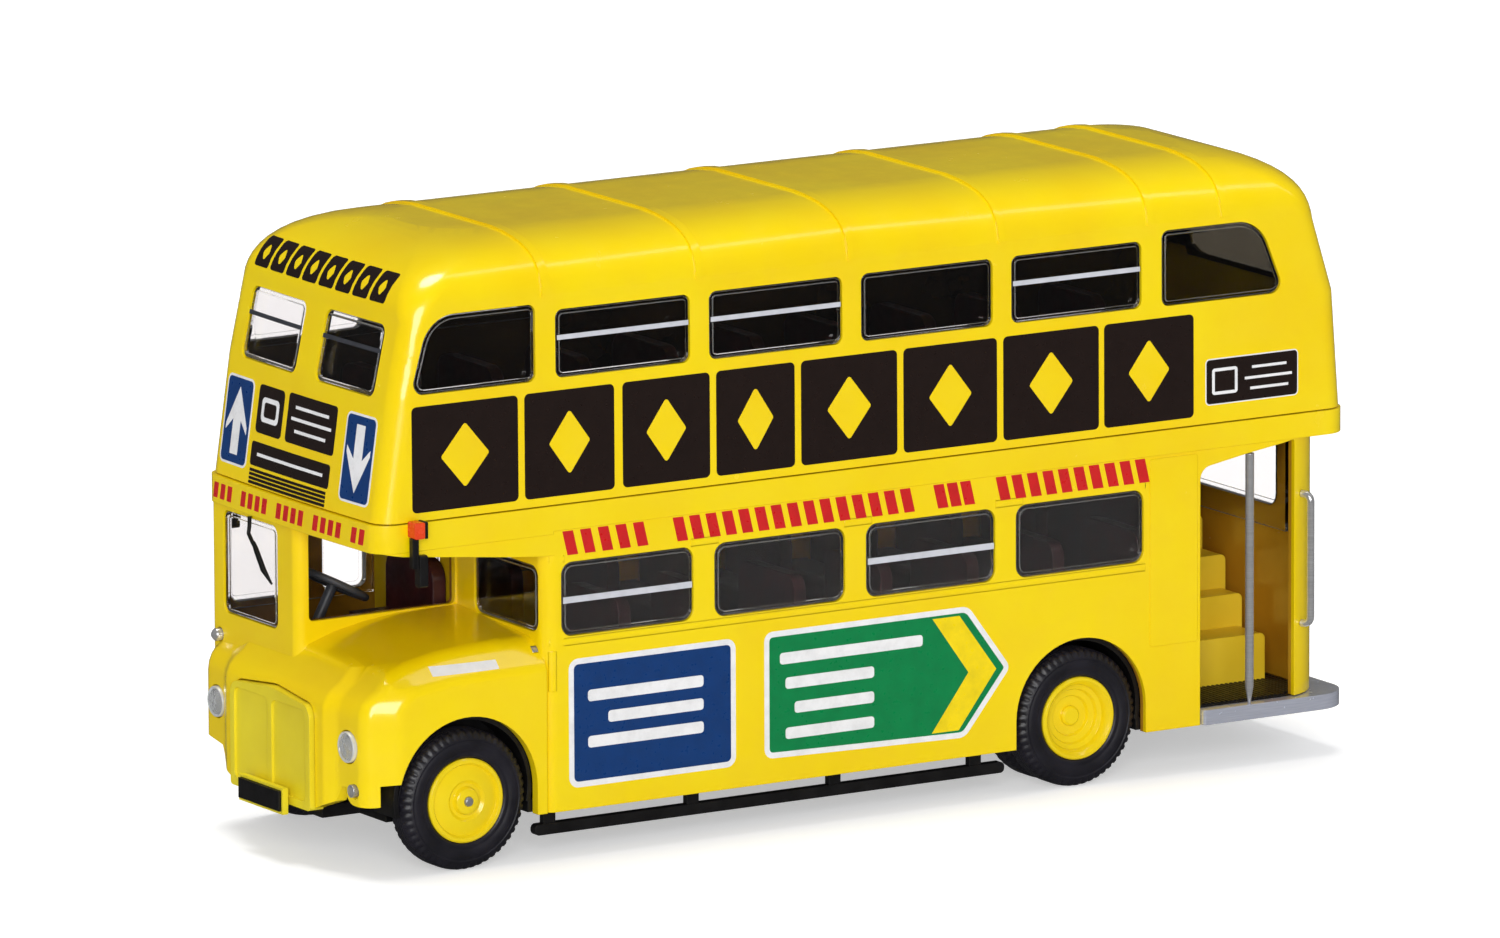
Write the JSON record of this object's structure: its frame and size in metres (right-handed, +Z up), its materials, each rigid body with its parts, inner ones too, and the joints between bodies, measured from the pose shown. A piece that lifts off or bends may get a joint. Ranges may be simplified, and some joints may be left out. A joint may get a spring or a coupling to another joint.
{
  "type": "model double decker bus",
  "caption": "Small scale model of a half-cab double decker bus with an open rear platform, glazed decks with seats, a staircase and twin rear wheels that roll on steel axles.",
  "frame": {"origin": "on the floor under the middle of the overall length and width", "axes": "+X forwards, +Y to the nearside with the platform doorway, +Z up"},
  "size_m": [0.1116, 0.0348, 0.0587],
  "materials": {
    "yellow_paint": "gloss",
    "yellow_moulding": "gloss",
    "clear_glazing": "clear",
    "maroon_moulding": "satin",
    "grey_moulding": "satin",
    "black_base": "satin",
    "bright_metal": "polished",
    "steel": "turned",
    "rubber": "matt",
    "lamp_clear": "clear",
    "lamp_red": "gloss",
    "lamp_orange": "gloss"
  },
  "bodies": {
    "body": {"bulkhead_glazing": "clear_glazing", "cab_side_glazing": "clear_glazing", "chassis_base": "black_base", "driver_seat": "maroon_moulding", "fog_lamp": "lamp_clear", "front_number_plate": "black_base", "grab_handle": "bright_metal", "headlamp_left": "lamp_clear", "headlamp_right": "lamp_clear", "indicator_left": "lamp_orange", "indicator_right": "lamp_orange", "life_guard_left": "black_base", "life_guard_right": "black_base", "lower_body": "yellow_paint", "lower_glazing_left": "clear_glazing", "lower_glazing_right": "clear_glazing", "lower_seats": "maroon_moulding", "mirror_left": "black_base", "mirror_right": "black_base", "platform_edge": "bright_metal", "platform_mat": "black_base", "platform_pole": "bright_metal", "platform_rear_glazing": "clear_glazing", "radiator_grille": "yellow_paint", "rear_lamp_left": "lamp_red", "rear_lamp_right": "lamp_red", "rear_number_plate": "black_base", "side_lamp_left": "lamp_clear", "side_lamp_right": "lamp_clear", "staircase": "yellow_moulding", "steering_wheel": "grey_moulding", "upper_body": "yellow_paint", "upper_glazing_front": "clear_glazing", "upper_glazing_left": "clear_glazing", "upper_glazing_rear": "clear_glazing", "upper_glazing_right": "clear_glazing", "upper_seats": "maroon_moulding", "windscreen": "clear_glazing"},
    "front_axle": {"front_axle": "steel", "front_hub_left": "yellow_moulding", "front_hub_right": "yellow_moulding", "front_tyre_left": "rubber", "front_tyre_right": "rubber"},
    "rear_axle": {"rear_axle": "steel", "rear_hub_left": "yellow_moulding", "rear_hub_right": "yellow_moulding", "rear_tyres_left": "rubber", "rear_tyres_right": "rubber"}
  },
  "joints": [
    {"name": "front_wheels_roll", "type": "hinge", "parent": "body", "child": "front_axle", "pos_m": [0.0425, 0, 0.00664], "axis": [0, 1, 0], "continuous": true},
    {"name": "rear_wheels_roll", "type": "hinge", "parent": "body", "child": "rear_axle", "pos_m": [-0.025, 0, 0.00664], "axis": [0, 1, 0], "continuous": true}
  ]
}
